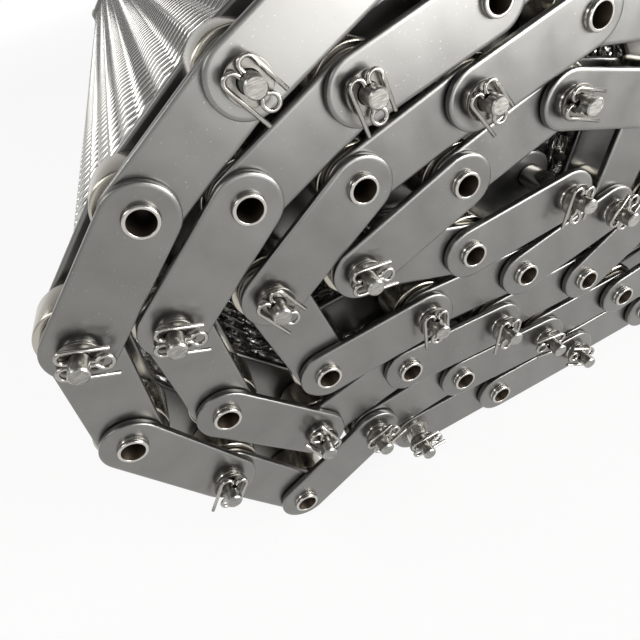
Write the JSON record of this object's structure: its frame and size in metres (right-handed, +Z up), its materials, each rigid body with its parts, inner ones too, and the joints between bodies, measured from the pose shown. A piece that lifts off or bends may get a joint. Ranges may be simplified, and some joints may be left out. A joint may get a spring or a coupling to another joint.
{
  "type": "chain-driven wire mesh conveyor belt",
  "caption": "Rolled-up stainless steel mesh conveyor belt: flattened wire spirals on cross rods between hollow-pin roller chains; the outer lap unrolls link by link.",
  "frame": {"origin": "middle of the rolled belt's footprint, on the floor it lies on", "axes": "+X along the free end that lies on the floor, towards the roll's closed side; +Y across the belt, along the rods; +Z up"},
  "size_m": [0.4072, 1.2222, 0.2766],
  "materials": {
    "satin_plate_steel": "satin",
    "turned_roller_steel": "fine turned",
    "bright_pin_steel": "bright",
    "drawn_rod_steel": "drawn, matt cut ends",
    "bright_fastener_steel": "bright",
    "drawn_wire_steel": "drawn, bright"
  },
  "bodies": {
    "free_end_run": {"free_end_run_bushes": "bright_pin_steel", "free_end_run_cross_rods": "drawn_rod_steel", "free_end_run_hollow_pins": "bright_pin_steel", "free_end_run_inner_plates": "satin_plate_steel", "free_end_run_mesh_rods": "drawn_rod_steel", "free_end_run_outer_plates": "satin_plate_steel", "free_end_run_spirals": "drawn_wire_steel", "free_end_run_split_pins": "bright_fastener_steel", "free_end_run_washers": "bright_fastener_steel"},
    "link_3": {"link_3_cross_rod": "drawn_rod_steel", "link_3_hollow_pins": "bright_pin_steel", "link_3_mesh_panel": "drawn_wire_steel", "link_3_outer_plates": "satin_plate_steel", "link_3_split_pins": "bright_fastener_steel", "link_3_washers": "bright_fastener_steel"},
    "link_4": {"link_4_bushes": "bright_pin_steel", "link_4_inner_plates": "satin_plate_steel", "link_4_mesh_panel": "drawn_wire_steel"},
    "link_5": {"link_5_cross_rod": "drawn_rod_steel", "link_5_hollow_pins": "bright_pin_steel", "link_5_mesh_panel": "drawn_wire_steel", "link_5_outer_plates": "satin_plate_steel", "link_5_split_pins": "bright_fastener_steel", "link_5_washers": "bright_fastener_steel"},
    "link_6": {"link_6_bushes": "bright_pin_steel", "link_6_inner_plates": "satin_plate_steel", "link_6_mesh_panel": "drawn_wire_steel"},
    "link_7": {"link_7_cross_rod": "drawn_rod_steel", "link_7_hollow_pins": "bright_pin_steel", "link_7_mesh_panel": "drawn_wire_steel", "link_7_outer_plates": "satin_plate_steel", "link_7_split_pins": "bright_fastener_steel", "link_7_washers": "bright_fastener_steel"},
    "link_8": {"link_8_bushes": "bright_pin_steel", "link_8_inner_plates": "satin_plate_steel", "link_8_mesh_panel": "drawn_wire_steel"},
    "roller_pair_0": {"roller_pair_0": "turned_roller_steel"},
    "roller_pair_1": {"roller_pair_1": "turned_roller_steel"},
    "roller_pair_2": {"roller_pair_2": "turned_roller_steel"},
    "roller_pair_3": {"roller_pair_3": "turned_roller_steel"},
    "roller_pair_4": {"roller_pair_4": "turned_roller_steel"},
    "roller_pair_5": {"roller_pair_5": "turned_roller_steel"},
    "roller_pair_6": {"roller_pair_6": "turned_roller_steel"},
    "roller_pair_7": {"roller_pair_7": "turned_roller_steel"},
    "roller_pair_8": {"roller_pair_8": "turned_roller_steel"},
    "roller_pair_9": {"roller_pair_9": "turned_roller_steel"},
    "wound_roll": {"wound_roll_bushes": "bright_pin_steel", "wound_roll_cross_rods": "drawn_rod_steel", "wound_roll_hollow_pins": "bright_pin_steel", "wound_roll_inner_plates": "satin_plate_steel", "wound_roll_mesh_rods": "drawn_rod_steel", "wound_roll_outer_plates": "satin_plate_steel", "wound_roll_rollers": "turned_roller_steel", "wound_roll_spirals": "drawn_wire_steel", "wound_roll_split_pins": "bright_fastener_steel", "wound_roll_washers": "bright_fastener_steel"}
  },
  "joints": [
    {"name": "link_hinge_3", "type": "hinge", "parent": "free_end_run", "child": "link_3", "pos_m": [0.07466, 0, 0.01539], "axis": [0, 1, 0], "range_deg": [0, 10]},
    {"name": "link_hinge_4", "type": "hinge", "parent": "link_3", "child": "link_4", "pos_m": [0.12448, 0, 0.02531], "axis": [0, 1, 0], "range_deg": [0, 26.8]},
    {"name": "link_hinge_5", "type": "hinge", "parent": "link_4", "child": "link_5", "pos_m": [0.1645, 0, 0.05661], "axis": [0, 1, 0], "range_deg": [0, 28.4]},
    {"name": "link_hinge_6", "type": "hinge", "parent": "link_5", "child": "link_6", "pos_m": [0.18481, 0, 0.10317], "axis": [0, 1, 0], "range_deg": [0, 18.4]},
    {"name": "link_hinge_7", "type": "hinge", "parent": "link_6", "child": "link_7", "pos_m": [0.1894, 0, 0.15376], "axis": [0, 1, 0], "range_deg": [0, 24.2]},
    {"name": "link_hinge_8", "type": "hinge", "parent": "link_7", "child": "link_8", "pos_m": [0.17288, 0, 0.2018], "axis": [0, 1, 0], "range_deg": [0, 21.1]},
    {"name": "link_hinge_9", "type": "hinge", "parent": "link_8", "child": "wound_roll", "pos_m": [0.14016, 0, 0.24066], "axis": [0, 1, 0], "range_deg": [0, 25.7]},
    {"name": "roller_spin_0", "type": "hinge", "parent": "free_end_run", "child": "roller_pair_0", "pos_m": [-0.07773, 0, 0.01428], "axis": [0, 1, 0], "continuous": true},
    {"name": "roller_spin_1", "type": "hinge", "parent": "free_end_run", "child": "roller_pair_1", "pos_m": [-0.02693, 0, 0.01428], "axis": [0, 1, 0], "continuous": true},
    {"name": "roller_spin_2", "type": "hinge", "parent": "free_end_run", "child": "roller_pair_2", "pos_m": [0.02388, 0, 0.01428], "axis": [0, 1, 0], "continuous": true},
    {"name": "roller_spin_3", "type": "hinge", "parent": "free_end_run", "child": "roller_pair_3", "pos_m": [0.07466, 0, 0.01539], "axis": [0, 1, 0], "continuous": true},
    {"name": "roller_spin_4", "type": "hinge", "parent": "link_4", "child": "roller_pair_4", "pos_m": [0.12448, 0, 0.02531], "axis": [0, 1, 0], "continuous": true},
    {"name": "roller_spin_5", "type": "hinge", "parent": "link_4", "child": "roller_pair_5", "pos_m": [0.1645, 0, 0.05661], "axis": [0, 1, 0], "continuous": true},
    {"name": "roller_spin_6", "type": "hinge", "parent": "link_6", "child": "roller_pair_6", "pos_m": [0.18481, 0, 0.10317], "axis": [0, 1, 0], "continuous": true},
    {"name": "roller_spin_7", "type": "hinge", "parent": "link_6", "child": "roller_pair_7", "pos_m": [0.1894, 0, 0.15376], "axis": [0, 1, 0], "continuous": true},
    {"name": "roller_spin_8", "type": "hinge", "parent": "link_8", "child": "roller_pair_8", "pos_m": [0.17288, 0, 0.2018], "axis": [0, 1, 0], "continuous": true},
    {"name": "roller_spin_9", "type": "hinge", "parent": "link_8", "child": "roller_pair_9", "pos_m": [0.14016, 0, 0.24066], "axis": [0, 1, 0], "continuous": true}
  ]
}
